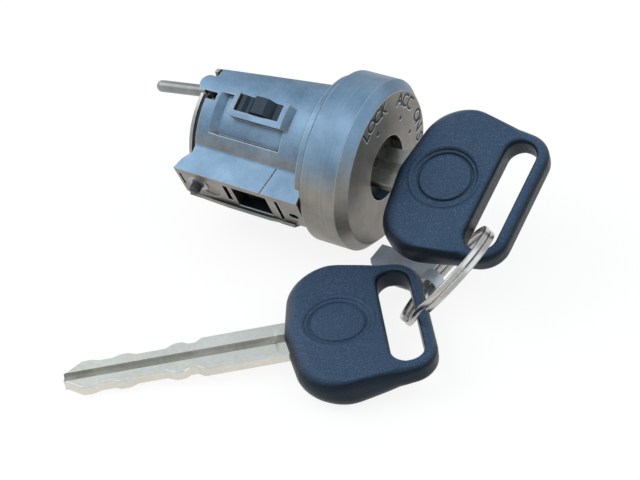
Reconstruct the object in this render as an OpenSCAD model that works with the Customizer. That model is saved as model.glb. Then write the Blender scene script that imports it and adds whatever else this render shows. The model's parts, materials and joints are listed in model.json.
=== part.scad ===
// Ignition lock cylinder with its key, a split ring, a folded tag and the spare key.
// X runs along the lock's axis toward the key and Z is up. The origin is on the axis, in the plane
// behind the head. Everything lies on a table that is level with the head's rim.

/* [Head] */
// Diameter of the round head
head_d = 36; // [34:0.5:40]
// Depth of the head, from its seat to the face
head_depth = 10.2; // [9.2:0.2:11.4]
// Chamfer round the face
face_chamfer = 2; // [1:0.1:2.6]
// Chamfer round the back of the head
back_chamfer = 0.5; // [0.2:0.1:0.8]
// How far the neck lies below the head's rim
neck_step = 1.4; // [0.8:0.1:2]
// Length of the neck behind the head
neck_len = 1.6; // [1:0.1:2.4]
// Depth of the rotor's front below the face
face_recess = 2.2; // [1.4:0.1:3]

/* [Body] */
// Radius of the barrel
barrel_r = 14.2; // [13.8:0.1:14.8]
// Length of the barrel behind the head
body_len = 27; // [26:0.5:29]
// Distance of the top flat from the axis, at the head
top_flat = 13.8; // [13.2:0.1:14]
// Fall of the top flat toward the rear, in degrees
top_flat_fall = 6.5; // [4:0.5:8]
// Turn of the top flat from straight up, away from the rail
top_flat_turn = 39; // [34:1:44]
// Radius of the boss that carries the rotor's rear end
boss_r = 8.3; // [7.9:0.1:8.8]
// Length of that boss behind the barrel
boss_len = 3; // [2.4:0.1:3.4]
// Width of the flat keel below the barrel
keel_w = 10.4; // [9:0.2:12]
// Offset of the keel's middle from the axis, away from the rail
keel_offset = 0.8; // [0:0.1:1.6]
// Gap between the keel and the head's seat
keel_gap = 2.6; // [2:0.1:4]

/* [Side box] */
// Reach of the rail's top edge from the axis
rail_reach = 18.9; // [18.4:0.1:19.4]
// Height of the rail's top edge above the axis
rail_top_z = 0.7; // [0.2:0.1:1.2]
// Lean of the rail face from upright
rail_lean = 21.7; // [18:0.1:25]
// Height of the rail face
rail_h = 9; // [8.8:0.1:9.6]
// How far the box stands out behind the barrel
box_overhang = 2.4; // [1.8:0.1:2.8]
// Thickness of the cover strip under the box
cover_t = 0.6; // [0.5:0.05:0.9]
// How far the cover strip stands proud of the rail face
cover_proud = 0.9; // [0.7:0.05:1]
// Radius of the cove between the barrel and the box
cove_r = 1.6; // [1:0.1:2]

/* [Window] */
// Place of the window's middle behind the seat
win_back = 13.8; // [13.4:0.1:14.2]
// Turn of the window from straight up, toward the rail
win_turn = 31; // [30:0.5:33]
// Length of the window
win_len = 10.4; // [10:0.1:10.8]
// Width of the window
win_w = 4.2; // [3.8:0.1:4.6]
// End walls of the raised frame round the window
win_wall = 1; // [0.8:0.1:1.2]
// Side wall of that frame, toward the rail
win_side_wall = 1.3; // [1.1:0.1:1.5]
// Distance of the frame's rim from the axis
win_rim_r = 15.8; // [15.6:0.1:16.2]
// Depth of the recess round the frame
recess_depth = 1; // [0.6:0.1:1.2]

/* [Rotor] */
// Radius of the rotor
rotor_r = 6.34; // [6.3:0.01:6.4]
// Radius of the rotor's front flange
flange_r = 6.82; // [6.7:0.01:6.9]
// Thickness of the front flange
flange_t = 1.6; // [1.2:0.1:2]
// Running clearance between rotor and case, on the radius
rotor_clear = 0.06; // [0.03:0.01:0.09]
// Radius of the drive tail
tail_r = 3; // [2.6:0.1:3.4]
// Length of the drive tail
tail_len = 2.6; // [2:0.1:3]
// Thickness across the tail's flats
tail_flat = 3; // [2.4:0.1:3.6]
// Spacing of the wafers
wafer_pitch = 3.2; // [3:0.05:3.3]
// Thickness of a wafer
wafer_t = 1; // [0.8:0.05:1.1]
// Width of a wafer across the blade's thickness
wafer_w = 4; // [3.8:0.1:4.4]

/* [Key] */
// Turn of the key from upright, toward the far side
key_turn = 69; // [66:1:72]
// Gap between the face and the bow
bow_gap = 4.2; // [3.8:0.1:5.2]
// Width of the blade
blade_w = 9; // [8.8:0.05:9.1]
// Thickness of the blade
blade_t = 2.2; // [2:0.05:2.3]
// Length of the blade, from the bow to the tip
blade_len = 44; // [43:0.5:44.5]
// Length of the bow
bow_len = 27.2; // [26.8:0.1:27.6]
// Half width of the bow at the blade
bow_half_w = 17.3; // [17:0.1:17.6]
// Half width of the bow at its far end
bow_end_half_w = 15.4; // [15.2:0.1:16]
// Corner radius of the bow at the blade
bow_corner = 9; // [8.4:0.1:9.6]
// Corner radius of the bow at its far end
bow_end_corner = 6; // [5.6:0.1:6.4]
// Bulge of the bow toward the blade
bow_bulge = 1.2; // [0.8:0.1:1.4]
// Thickness of the bow at the blade
bow_t = 6.6; // [6.2:0.1:6.8]
// Thickness of the bow at its far end
bow_end_t = 4.8; // [4.6:0.1:5]
// Middle of the ring slot, from the blade side of the bow
slot_mid = 21.5; // [21.3:0.1:21.7]
// Width of the ring slot
slot_w = 6.4; // [6.2:0.1:6.6]
// Half length of the ring slot
slot_half_len = 12.8; // [12.4:0.1:13]
// Radius of the plain medallion in the bow
medallion_r = 6.6; // [6:0.1:7]

/* [Ring and tag] */
// Radius of the split ring, to the middle of its wire
ring_r = 11.7; // [11.5:0.05:11.8]
// Width of the ring's wire
wire_w = 1.15; // [1:0.05:1.2]
// Thickness of the ring's wire
wire_t = 1; // [0.9:0.05:1.05]
// Length of the tag
tag_len = 13.2; // [12:0.2:13.4]
// Width of the tag
tag_w = 9.6; // [9:0.2:10]
// Thickness of the tag's sheet
tag_t = 0.35; // [0.3:0.05:0.4]

/* [Rail pieces] */
// Radius of the stop pin
stop_pin_r = 1.35; // [1.25:0.05:1.4]
// How far the stop pin stands out of the rail
stop_pin_proud = 2.3; // [2.2:0.1:2.6]
// Radius of the plug that the stop pin runs in
bush_r = 2.2; // [2.1:0.05:2.4]
// Radius of the interlock rod
rod_r = 1.25; // [1.2:0.01:1.28]
// How far the rod stands out behind the barrel
rod_out = 15.4; // [14:0.2:17]
// Droop of the rod toward its free end, in degrees
rod_droop = 9; // [6:0.5:10]

/* [Hidden] */
$fn = 64;

// Clearances and small shared values
over = 1;              // how far a cut runs past a face
fit_gap = 0.06;        // running clearance on a pin's radius
seat_gap = 0.02;       // clearance of a piece that is pressed in
side_gap = 0.25;       // clearance beside a piece that moves
soft_fn = 32;
wire_sides = 6;

// Head and body
head_r = head_d / 2;
table_z = -head_r;
face_x = head_depth;
neck_r = head_r - neck_step;
bore_r = rotor_r + rotor_clear;
flange_bore_r = flange_r + rotor_clear;
rotor_front = face_x - face_recess;
flange_back = rotor_front - flange_t;
flange_seat = 0.1;
keel_chamfer = 1;
keel_rear_gap = 1.6;
keel_len = body_len - keel_gap - keel_rear_gap;
recess_from = 7.4;
recess_to = 24.2;
recess_ramp = 1.8;
recess_a0 = 25;
recess_a1 = 61;
recess_r = barrel_r - recess_depth;
case_blue = [0.62, 0.67, 0.72];

// Side box, as points [y, z] of its section
rail_top = [-rail_reach, rail_top_z];
rail_low = rail_top + rail_h * [sin(rail_lean), -cos(rail_lean)];
rail_turn = 90 + rail_lean;
box_edge_a = 74;
box_edge = barrel_r * [-sin(box_edge_a), cos(box_edge_a)];
box_len = norm(box_edge - rail_top);
box_dir = (box_edge - rail_top) / box_len;
box_out = [-box_dir.y, box_dir.x];
box_turn = atan2(box_dir.y, box_dir.x);
box_under = [-8, -11.4];
// Middle of the cove, at its radius from both the barrel and the box
cove_bite = 0.06;
cove_foot = rail_top + (cove_r - cove_bite) * box_out;
cove_half = cove_foot * box_dir;
cove_reach = barrel_r + cove_r - cove_bite;
cove_run = -cove_half - sqrt(cove_half ^ 2 - cove_foot * cove_foot + cove_reach ^ 2);
cove_mid = cove_foot + cove_run * box_dir;
cove_top = cove_mid * (barrel_r - cove_bite) / cove_reach;
cove_low = cove_mid - cove_r * box_out;
// Rear edge of the box, as [distance from the rail, distance behind the barrel]
box_rear_in = 0.15;
box_rear = [[0.3, box_overhang + over], [0.3, box_overhang - 0.1], [2.5, 1.4], [4.4, -box_rear_in]];
// Fine parting line across the box, as its two ends [x, distance from the rail]
line_from = [-8.6, -0.2];
line_to = [-7.2, 6];
line_w = 0.22;
line_deep = 0.25;
under_dir = (box_under - rail_low) / norm(box_under - rail_low);
under_turn = atan2(-under_dir.y, -under_dir.x);
under_len = norm(box_under - rail_low);
cover_inset = 0.8;
cover_x0 = -body_len - box_overhang + cover_inset;
cover_x1 = -keel_gap;
// The strip's outer edge, as [x, share of its full stand]
cover_edge = [[cover_x0, 0.1], [-25.4, 0.15], [-18.6, 1], [-8.4, 1], [-6.6, 0.4], [-5.8, 0.4], [-5.8, 0.7],
    [cover_x1, 0.7]];
rivet_x = [-22, -11];
rivet_in = 4.2;
rivet_r = 0.8;
rivet_head_r = 1.3;
rivet_head_h = 0.6;
rivet_deep = 2.4;

// Cuts in the rail, as distances behind the seat and down the rail
pocket_x0 = -16.1;
pocket_x1 = -7.7;
pocket_s0 = 1.5;
pocket_s1 = 8.2;
pocket_deep = 6;
slit_w = [1.2, 0.85, 0.6];
slit_deep = 2;
slit_x = [-17.6, -5.4, -28.5];
slit_s = [[1.6, 6.9], [1.6, 8.6], [1.6, 5.8]];
oval_x = -2.2;
oval_s = 5.7;
oval_r = 0.85;
oval_run = 0.6;
// Stop pin's place in front of the barrel's rear end, and the round moulding mark beside it
stop_in = 2.2;
stop_x = -body_len + stop_in;
mark_off = 2.8;
mark_x = stop_x + mark_off;
mark_s = 5;
mark_r = 2.4;
mark_deep = 0.25;

// Stop pin, along the rail's outward normal
stop_s = 4.1;
bush_t = 1.9;
pin_flange_r = 1.8;
pin_flange_t = 1;
pin_flange_gap = 0.1;
pin_well_r = pin_flange_r + pin_flange_gap;
stop_tip_step = 0.2;
stop_tip_r = stop_pin_r - stop_tip_step;
stop_tip_from = 0.1;
stop_tip_chamfer = 0.4;
pin_well_deep = 7;
pin_spring_r = 1.45;
pin_spring_wire = 0.2;
pin_spring_turns = 4;
pin_spring_steps = 14;

// Interlock lever in its pocket
lever_x = -14.4;
lever_z = -3.6;
lever_boss_r = 1.5;
lever_tip_x = -8.4;
lever_pin_r = 0.75;
lever_pin_grip = 1.2;
lever_pin_len = pocket_s1 - pocket_s0 + 2 * lever_pin_grip;
lever_mid_s = (pocket_s0 + pocket_s1) / 2;
lever_w = pocket_s1 - pocket_s0 - 2 * side_gap;

// Reminder lever in the window
win_x = -win_back;
win_floor = 11.2;
win_far_a = win_turn - asin(win_w / 2 / win_rim_r);
win_near_a = win_turn + asin((win_w / 2 + win_side_wall) / win_rim_r);
win_front_run = 2.2;
win_foot_depth = 2;
win_foot_r = barrel_r - win_foot_depth;
rocker_len = win_len - 2 * side_gap;
rocker_w = win_w - 2 * side_gap;
rocker_low = 11.9;
rocker_top = 14.6;
bump_top = 16.4;
rocker_rise = 0.5;
// Points along the rocker's top: end of the rear hump, its foot, then the bump's foot, crest and front
bump = [-3.8, -3.1, -2.4, -1, 1.7, 3.2];
pivot_z = 12.7;
reminder_pin_r = 0.7;
reminder_pin_grip = 0.8;

// Rod channel, at a distance from the axis and an angle from up toward the rail
rod_dist = 11.44;
rod_a = 21;
rod_in = 3.2;
rod_stroke_room = 3;
rod_fit = 0.05;
roof_a0 = 12;
roof_a1 = 28;
roof_r = 12.5;
roof_len = 3;
roof_mid = (roof_a0 + roof_a1) / 2;
roof_tip_spare = 0.15;
roof_tip_r = barrel_r * sin((roof_a1 - roof_a0) / 2) + roof_tip_spare;
notch_a1 = 34;
notch_len = 2.2;
notch_a0 = 27;
rod_spring_r = 0.95;
rod_spring_wire = 0.18;
rod_spring_turns = 4;
rod_spring_steps = 12;
rod_spring_end_gap = 0.05;
rod_spring_len = rod_stroke_room - 2 * rod_spring_wire - 2 * rod_spring_end_gap;

// Rear gasket and plate
gasket_t = 1;
gasket_inset = 0.5;
gasket_r = barrel_r - gasket_inset;
plate_t = 0.7;
plate_inset = 0.3;
plate_r = barrel_r - plate_inset;
rear_notch_a0 = 6;
rear_notch_a1 = 30;
rear_notch_r = 8.9;

// Rotor pieces
wafer_count = 8;
wafer_first = 3.4;
wafer_inset = 0.14;
wafer_r = rotor_r - wafer_inset;
wafer_gap = 0.1;
blade_gap = 0.1;
tab_w = 1.5;
tab_h = 1.2;
tab_room = 4.4;
wafer_spring_r = 0.5;
wafer_spring_wire = 0.11;
wafer_spring_turns = 3;
wafer_spring_steps = 10;
wafer_spring_sides = 5;
clip_t = 0.7;
clip_groove_r = 5.6;
clip_r = 7.8;
clip_gap = 0.15;
clip_mouth = 60;
clip_x = -body_len - boss_len - clip_gap - clip_t;

// Keys. The blade's outline is [distance from the bow, half width], from the bow to the tip
key_x = face_x + bow_gap;
key_roll = 90 - key_turn;
tang_len = 12;
tang_half_w = 3.4;
root_len = 17;
tip_run = 3.6;
tip_gap = 0.9;
slot_wall = 1;
clip_land = 2;
slot_rear = key_x - blade_len - tip_gap;
rotor_rear = min(slot_rear - slot_wall, -body_len - boss_len - clip_land);
// Places of the cuts along the blade, as shares of the run from the root to the tip
cut_run = blade_len - root_len - tip_run;
cut_at = cut_run * [0.051, 0.111, 0.162, 0.231, 0.308, 0.547, 0.615, 0.684, 0.744, 0.855, 0.915];
cut_1 = 3.5;
cut_2 = 3.2;
cut_3 = 3.3;
land_1 = 4.2;
land_2 = 3.9;
land_3 = 3.8;
tip_half_w = 1;
blade_half = blade_w / 2;
cut_half = [cut_1, cut_1, land_1, land_1, cut_2, cut_2, land_2, land_2, cut_3, cut_3, land_3];
blade_edge = concat([[-tang_len, tang_half_w], [0, tang_half_w], [0, blade_half], [root_len, blade_half]],
    [for (i = [0:len(cut_at) - 1]) [root_len + cut_at[i], cut_half[i]]],
    [[blade_len - tip_run, land_3], [blade_len, tip_half_w]]);
groove_w = 1.7;
groove_deep = 0.5;
groove_from = 3;
slot_flare = 1.2;
slot_flare_z = 1.9;
medallion_deep = 0.35;
medallion_mid = 9.5;

// The spare key lies with its tip on the table and its bow's end on the ring
spare_at = [10.1, -40.1];
spare_heading = 36.7;

// The split ring's middle, and the direction of its axis
ring_at = [32.1, -16.9, -7.6];
ring_heading = 181;
ring_rise = 37.6;
ring_jog = 40;
ring_steps = 68;
ring_end_gap = 2;
ring_start = 100;
ring_turn_gap = 0.08;
wire_corner = 0.3;

// The spare key's end bar rests on the ring
spare_bar_u = 26;
spare_bar_drop = 5.01;
spare_tip_z = table_z + blade_t / 2 + seat_gap;
spare_tilt = asin((ring_at.z - spare_bar_drop - spare_tip_z) / (blade_len + spare_bar_u));
spare_z = spare_tip_z + blade_len * sin(spare_tilt);

// The tag is a strip folded round the ring, with its two layers flat on the table
tag_drop = 10.38;
tag_z = ring_at.z - tag_drop;
tag_loop_at = [25.67, -12.14];
tag_loop_r = 2.1;
tag_loop_w = 3;
tag_slit = 0.3;
tag_corner = [4.3, 4.4];

// Point [y, z] at a radius and at an angle from up toward the rail
function polar(r, a) = r * [-sin(a), cos(a)];

// A section drawn as [y, z] and run along X from x0
module section(x0, len) translate([x0, 0, 0]) rotate([90, 0, 90]) linear_extrude(len) children();

// A round bar along X
module bar(x0, x1, r) translate([x0, 0, 0]) rotate([0, 90, 0]) cylinder(h = x1 - x0, r = r);

// A profile [distance from the axis, x] turned round X between two angles from up toward the rail
module turned(a0, a1) rotate([0, 90, 0]) rotate([0, 0, 180 + a0]) rotate_extrude(angle = a1 - a0) children();
module sector(x0, len, r0, r1, a0, a1) turned(a0, a1) translate([r0, x0]) square([r1 - r0, len]);

// What lies above the top flat
module above_flat()
    rotate([-top_flat_turn, 0, 0]) translate([0, 0, top_flat]) rotate([0, -top_flat_fall, 0])
    translate([-2 * body_len, -head_d, 0]) cube([3 * body_len, 2 * head_d, head_d]);

// A bar along X with the top flat cut from it
module flat_bar(x0, x1, r) difference() {
    bar(x0, x1, r);
    above_flat();
}

// Frames: on the rail with Z outward and Y up the rail, under the box, in the window, on the rod
module on_rail(x, s)
    translate([x, rail_top.x + s * sin(rail_lean), rail_top.y - s * cos(rail_lean)])
    rotate([rail_turn, 0, 0]) children();
module under_box() translate([0, rail_low.x, rail_low.y]) rotate([under_turn, 0, 0]) children();
module on_box() translate([0, rail_top.x, rail_top.y]) rotate([box_turn, 0, 0]) children();
module in_window() translate([win_x, 0, 0]) rotate([win_turn, 0, 0]) children();
module on_rod(s)
    translate([-body_len, polar(rod_dist, rod_a).x, polar(rod_dist, rod_a).y])
    rotate([0, 90 - rod_droop, 0]) translate([0, 0, s]) children();
module in_rotor() rotate([key_roll, 0, 0]) children();
module on_key() translate([key_x, 0, 0]) in_rotor() children();
module on_spare()
    translate([spare_at.x, spare_at.y, spare_z]) rotate([0, -spare_tilt, spare_heading]) children();
module on_ring() translate(ring_at) rotate([0, 90 - ring_rise, ring_heading]) children();

// A wire round Z. Its path is a list of [angle, height], and its section is given as [outward, along]
module wind(r, path, wire) {
    sides = len(wire);
    steps = len(path) - 1;
    points = [for (q = path) for (p = wire) [(r + p.x) * cos(q.x), (r + p.x) * sin(q.x), q.y + p.y]];
    walls = [for (i = [0:steps - 1]) for (j = [0:sides - 1]) let (k = (j + 1) % sides,
        a = i * sides + j, b = i * sides + k, c = a + sides, d = b + sides) each [[a, c, b], [b, c, d]]];
    first = [[for (j = [0:sides - 1]) j]];
    last = [[for (j = [sides - 1:-1:0]) steps * sides + j]];
    polyhedron(points, concat(walls, first, last));
}
module coil(r, pitch, turns, steps, wire)
    wind(r, [for (i = [0:steps]) [360 * turns * i / steps, pitch * turns * (i / steps - 1 / 2)]], wire);
function round_wire(r, sides = wire_sides) =
    [for (j = [0:sides - 1]) r * [cos(360 * j / sides), sin(360 * j / sides)]];
function flat_wire(t, w, c) = [
    [t / 2, -w / 2 + c], [t / 2, w / 2 - c], [t / 2 - c, w / 2], [c - t / 2, w / 2],
    [-t / 2, w / 2 - c], [-t / 2, c - w / 2], [c - t / 2, -w / 2], [t / 2 - c, -w / 2]];

// Case
module head()
    rotate([90, 0, 90]) rotate_extrude() polygon([[0, -neck_len], [neck_r, -neck_len], [neck_r, 0],
        [head_r - back_chamfer, 0], [head_r, back_chamfer], [head_r, face_x - face_chamfer],
        [head_r - face_chamfer, face_x], [0, face_x]]);

module side_box() difference() {
    section(-body_len - box_overhang, body_len + box_overhang)
        polygon([[0, 0], cove_top, cove_low, rail_top, rail_low, box_under]);
    translate([0, cove_mid.x, cove_mid.y]) bar(-body_len - box_overhang - over, over, cove_r);
    on_box() translate([-body_len, 0, -head_d]) linear_extrude(2 * head_d) polygon(concat(
        [for (p = box_rear) [-p.y, p.x]],
        [[box_rear_in, head_d], [-head_r, head_d], [-head_r, box_rear[0].x]]));
}

// Fine parting line across the box
module box_line() on_box() translate([line_from.x, line_from.y, -line_deep])
    rotate([0, 0, atan2(line_to.y - line_from.y, line_to.x - line_from.x)])
    translate([0, -line_w / 2, 0]) cube([norm(line_to - line_from), line_w, line_deep + over]);

module keel() {
    y0 = keel_offset - keel_w / 2;
    y1 = keel_offset + keel_w / 2;
    section(-keel_gap - keel_len, keel_len) polygon([[y0, 0], [y0, table_z + keel_chamfer],
        [y0 + keel_chamfer, table_z], [y1 - keel_chamfer, table_z], [y1, table_z + keel_chamfer], [y1, 0]]);
}

module window_frame() turned(win_far_a, win_near_a) polygon([
    [win_foot_r, win_x - win_len / 2 - win_wall], [win_rim_r, win_x - win_len / 2 - win_wall],
    [win_rim_r, win_x + win_len / 2 + win_wall], [recess_r, win_x + win_len / 2 + win_wall + win_front_run],
    [win_foot_r, win_x + win_len / 2 + win_wall + win_front_run]]);

// The recess runs out to the barrel over a ramp at its rear end
module recess() turned(recess_a0, recess_a1) polygon([
    [recess_r, recess_ramp - recess_to], [recess_r, -recess_from],
    [barrel_r + over, -recess_from], [barrel_r + over, -recess_to - recess_ramp * over / recess_depth]]);

// The roof over the rod has a round tip
module rod_roof() intersection() {
    sector(-body_len - roof_len, roof_len + over, roof_r, barrel_r, roof_a0, roof_a1);
    rotate([roof_mid, 0, 0]) translate([roof_tip_r - body_len - roof_len, 0, 0]) {
        cylinder(h = head_r, r = roof_tip_r);
        translate([0, -roof_tip_r, 0]) cube([roof_len + over, 2 * roof_tip_r, head_r]);
    }
}

module window_cut() in_window() {
    translate([-win_len / 2, -win_w / 2, win_floor]) cube([win_len, win_w, head_r]);
    translate([0, 0, pivot_z]) rotate([90, 0, 0])
        cylinder(h = win_w + 2 * reminder_pin_grip, r = reminder_pin_r + seat_gap, center = true);
}

module rod_cut() {
    on_rod(-boss_len - over) cylinder(h = boss_len + over + rod_in + rod_stroke_room, r = rod_r + rod_fit);
    sector(-body_len - over, notch_len + over, roof_r - rod_r, barrel_r + over, notch_a0, notch_a1);
}

module rail_cut() {
    on_rail(0, 0) {
        translate([pocket_x0, -pocket_s1, -pocket_deep])
            cube([pocket_x1 - pocket_x0, pocket_s1 - pocket_s0, pocket_deep + over]);
        for (i = [0:len(slit_x) - 1]) translate([slit_x[i] - slit_w[i] / 2, -slit_s[i][1], -slit_deep])
            cube([slit_w[i], slit_s[i][1] - slit_s[i][0], slit_deep + over]);
        translate([mark_x, -mark_s, -mark_deep]) cylinder(h = mark_deep + over, r = mark_r);
        translate([oval_x, -oval_s, -slit_deep]) {
            translate([-oval_run / 2, -oval_r, 0]) cube([oval_run, 2 * oval_r, slit_deep + over]);
            for (x = [-1, 1]) translate([x * oval_run / 2, 0, 0]) cylinder(h = slit_deep + over, r = oval_r);
        }
        translate([lever_x, -lever_mid_s, lever_z]) rotate([90, 0, 0])
            cylinder(h = lever_pin_len, r = lever_pin_r + seat_gap, center = true);
    }
    on_rail(stop_x, stop_s) {
        translate([0, 0, -bush_t]) cylinder(h = bush_t + over, r = bush_r + seat_gap);
        translate([0, 0, -pin_well_deep]) cylinder(h = pin_well_deep, r = pin_well_r);
    }
    under_box() for (x = rivet_x) translate([x, -rivet_in, -rivet_deep])
        cylinder(h = rivet_deep + over, r = rivet_r + seat_gap);
}

module cylinder_case() color(case_blue) difference() {
    union() {
        head();
        flat_bar(-body_len, 0, barrel_r);
        side_box();
        keel();
        bar(-body_len - boss_len, 0, boss_r);
        rod_roof();
        window_frame();
    }
    difference() {
        recess();
        window_frame();
    }
    box_line();
    bar(-body_len - boss_len - over, face_x + over, bore_r);
    bar(flange_back - flange_seat, face_x + over, flange_bore_r);
    window_cut();
    rod_cut();
    rail_cut();
}

module rear_sheet(x0, x1, r) difference() {
    flat_bar(x0, x1, r);
    bar(x0 - over, x1 + over, boss_r + seat_gap);
    sector(x0 - over, x1 - x0 + 2 * over, rear_notch_r, head_r, rear_notch_a0, rear_notch_a1);
    side_box();
}
module rear_gasket() color([0.06, 0.06, 0.07]) rear_sheet(-body_len - gasket_t, -body_len, gasket_r);
module rear_plate() color([0.7, 0.71, 0.7])
    rear_sheet(-body_len - gasket_t - plate_t, -body_len - gasket_t, plate_r);

module rail_cover() color([0.55, 0.57, 0.57]) difference() {
    under_box() linear_extrude(cover_t) polygon(concat([[cover_x1, -under_len], [cover_x0, -under_len]],
        [for (p = cover_edge) [p.x, p.y * cover_proud]]));
    flat_bar(-body_len, 0, barrel_r);
    keel();
    under_box() for (x = rivet_x) translate([x, -rivet_in, -over])
        cylinder(h = cover_t + 2 * over, r = rivet_r + seat_gap);
}
module cover_rivets() color([0.6, 0.6, 0.6]) under_box() for (x = rivet_x) translate([x, -rivet_in, 0]) {
    translate([0, 0, -rivet_deep]) cylinder(h = rivet_deep + cover_t, r = rivet_r);
    translate([0, 0, cover_t]) cylinder(h = rivet_head_h, r1 = rivet_head_r, r2 = rivet_r);
}

// Stop pin
module stop_pin_bush() color([0.66, 0.62, 0.53]) on_rail(stop_x, stop_s) difference() {
    translate([0, 0, -bush_t]) cylinder(h = bush_t, r = bush_r);
    translate([0, 0, -bush_t - over]) cylinder(h = bush_t + 2 * over, r = stop_pin_r + fit_gap);
}
module stop_pin() color([0.2, 0.2, 0.22]) on_rail(stop_x, stop_s) {
    flange_top = -bush_t - pin_flange_gap;
    tip_len = stop_pin_proud - stop_tip_chamfer - stop_tip_from;
    translate([0, 0, flange_top - pin_flange_t]) cylinder(h = pin_flange_t, r = pin_flange_r);
    translate([0, 0, flange_top]) cylinder(h = stop_tip_from - flange_top, r = stop_pin_r);
    translate([0, 0, stop_tip_from]) cylinder(h = tip_len, r = stop_tip_r);
    translate([0, 0, stop_tip_from + tip_len])
        cylinder(h = stop_tip_chamfer, r1 = stop_tip_r, r2 = stop_tip_r - stop_tip_chamfer);
}
module stop_pin_spring() color([0.75, 0.75, 0.75]) on_rail(stop_x, stop_s) {
    top = -bush_t - pin_flange_gap - pin_flange_t;
    room = pin_well_deep + top - 2 * pin_spring_wire - 2 * seat_gap;
    translate([0, 0, top - pin_spring_wire - seat_gap - room / 2])
        coil(pin_spring_r, room / pin_spring_turns, pin_spring_turns, pin_spring_steps * pin_spring_turns,
            round_wire(pin_spring_wire));
}

// Reminder lever
module reminder_lever() color([0.08, 0.08, 0.09]) difference() {
    intersection() {
        in_window() translate([0, rocker_w / 2, 0]) rotate([90, 0, 0]) linear_extrude(rocker_w) polygon([
            [-rocker_len / 2, rocker_low], [rocker_len / 2, rocker_low], [rocker_len / 2, rocker_top],
            [bump[5], rocker_top], [bump[4], bump_top], [bump[3], bump_top], [bump[2], rocker_top],
            [bump[1], rocker_top], [bump[0], rocker_top + rocker_rise],
            [-rocker_len / 2, rocker_top + rocker_rise]]);
        bar(-body_len, 0, bump_top);
    }
    in_window() translate([0, 0, pivot_z]) rotate([90, 0, 0])
        cylinder(h = win_w, r = reminder_pin_r + fit_gap, center = true);
}
module reminder_pin() color([0.7, 0.7, 0.7]) in_window() translate([0, 0, pivot_z]) rotate([90, 0, 0])
    cylinder(h = win_w + 2 * reminder_pin_grip - 2 * seat_gap, r = reminder_pin_r, center = true);

// Interlock rod and lever
module interlock_rod() color([0.72, 0.73, 0.72]) {
    on_rod(rod_r - rod_out) cylinder(h = rod_out - rod_r + rod_in, r = rod_r);
    on_rod(rod_r - rod_out) sphere(r = rod_r);
}
module rod_spring() color([0.75, 0.75, 0.75])
    on_rod(rod_in + rod_stroke_room / 2)
    coil(rod_spring_r, rod_spring_len / rod_spring_turns, rod_spring_turns,
        rod_spring_steps * rod_spring_turns, round_wire(rod_spring_wire));
module interlock_lever() color([0.3, 0.3, 0.31]) on_rail(0, 0)
    translate([0, lever_w / 2 - lever_mid_s, 0]) rotate([90, 0, 0])
    linear_extrude(lever_w) difference() {
        union() {
            translate([lever_x, lever_z]) circle(r = lever_boss_r);
            polygon([[lever_x, lever_z + lever_boss_r * 0.9], [lever_tip_x, lever_z + lever_boss_r / 3],
                [lever_tip_x, lever_z - lever_boss_r * 2 / 3], [lever_x, lever_z - lever_boss_r * 0.9]]);
        }
        translate([lever_x, lever_z]) circle(r = lever_pin_r + fit_gap);
    }
module lever_pin() color([0.7, 0.7, 0.7]) on_rail(0, 0)
    translate([lever_x, -lever_mid_s, lever_z]) rotate([90, 0, 0])
    cylinder(h = lever_pin_len - 2 * seat_gap, r = lever_pin_r, center = true);

// Rotor with its wafers
function wafer_x(i) = wafer_first - i * wafer_pitch;
module rotor() color([0.72, 0.62, 0.4]) in_rotor() difference() {
    union() {
        bar(rotor_rear, rotor_front, rotor_r);
        bar(flange_back, rotor_front, flange_r);
        intersection() {
            bar(rotor_rear - tail_len, rotor_rear, tail_r);
            translate([rotor_rear - tail_len, -tail_r, -tail_flat / 2])
                cube([tail_len, 2 * tail_r, tail_flat]);
        }
    }
    translate([slot_rear, -blade_half - blade_gap, -blade_t / 2 - blade_gap])
        cube([rotor_front - slot_rear + over, blade_w + 2 * blade_gap, blade_t + 2 * blade_gap]);
    for (i = [0:wafer_count - 1]) translate([wafer_x(i) - wafer_t / 2 - wafer_gap, 0, 0]) {
        translate([0, -flange_r, -wafer_w / 2 - wafer_gap])
            cube([wafer_t + 2 * wafer_gap, 2 * flange_r, wafer_w + 2 * wafer_gap]);
        translate([0, -tab_h - wafer_gap, 0])
            cube([wafer_t + 2 * wafer_gap, tab_room + tab_h, wafer_w / 2 + tab_w + wafer_gap]);
    }
    difference() {
        bar(clip_x - wafer_gap, clip_x + clip_t + wafer_gap, 2 * rotor_r);
        bar(rotor_rear, rotor_front, clip_groove_r);
    }
}
module wafer(i) color([0.78, 0.68, 0.42])
    in_rotor() translate([wafer_x(i) - wafer_t / 2, 0, 0]) difference() {
    union() {
        intersection() {
            bar(0, wafer_t, wafer_r);
            translate([0, -wafer_r, -wafer_w / 2]) cube([wafer_t, 2 * wafer_r, wafer_w]);
        }
        translate([0, -tab_h, 0]) cube([wafer_t, tab_h, wafer_w / 2 + tab_w]);
    }
    translate([-over, -blade_half - blade_gap, -blade_t / 2 - blade_gap])
        cube([wafer_t + 2 * over, blade_w + 2 * blade_gap, blade_t + 2 * blade_gap]);
}
module wafer_springs() color([0.75, 0.75, 0.75]) in_rotor() for (i = [0:wafer_count - 1]) {
    room = tab_room - wafer_gap - 2 * wafer_spring_wire - 2 * seat_gap;
    translate([wafer_x(i), room / 2 + wafer_spring_wire + seat_gap, wafer_w / 2 + tab_w / 2 + wafer_gap])
        rotate([90, 0, 0])
        coil(wafer_spring_r - wafer_spring_wire, room / wafer_spring_turns, wafer_spring_turns,
            wafer_spring_steps * wafer_spring_turns, round_wire(wafer_spring_wire, wafer_spring_sides));
}
module rotor_clip() color([0.5, 0.5, 0.5])
    sector(clip_x, clip_t, clip_groove_r + seat_gap, clip_r, 0, 360 - clip_mouth);

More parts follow.
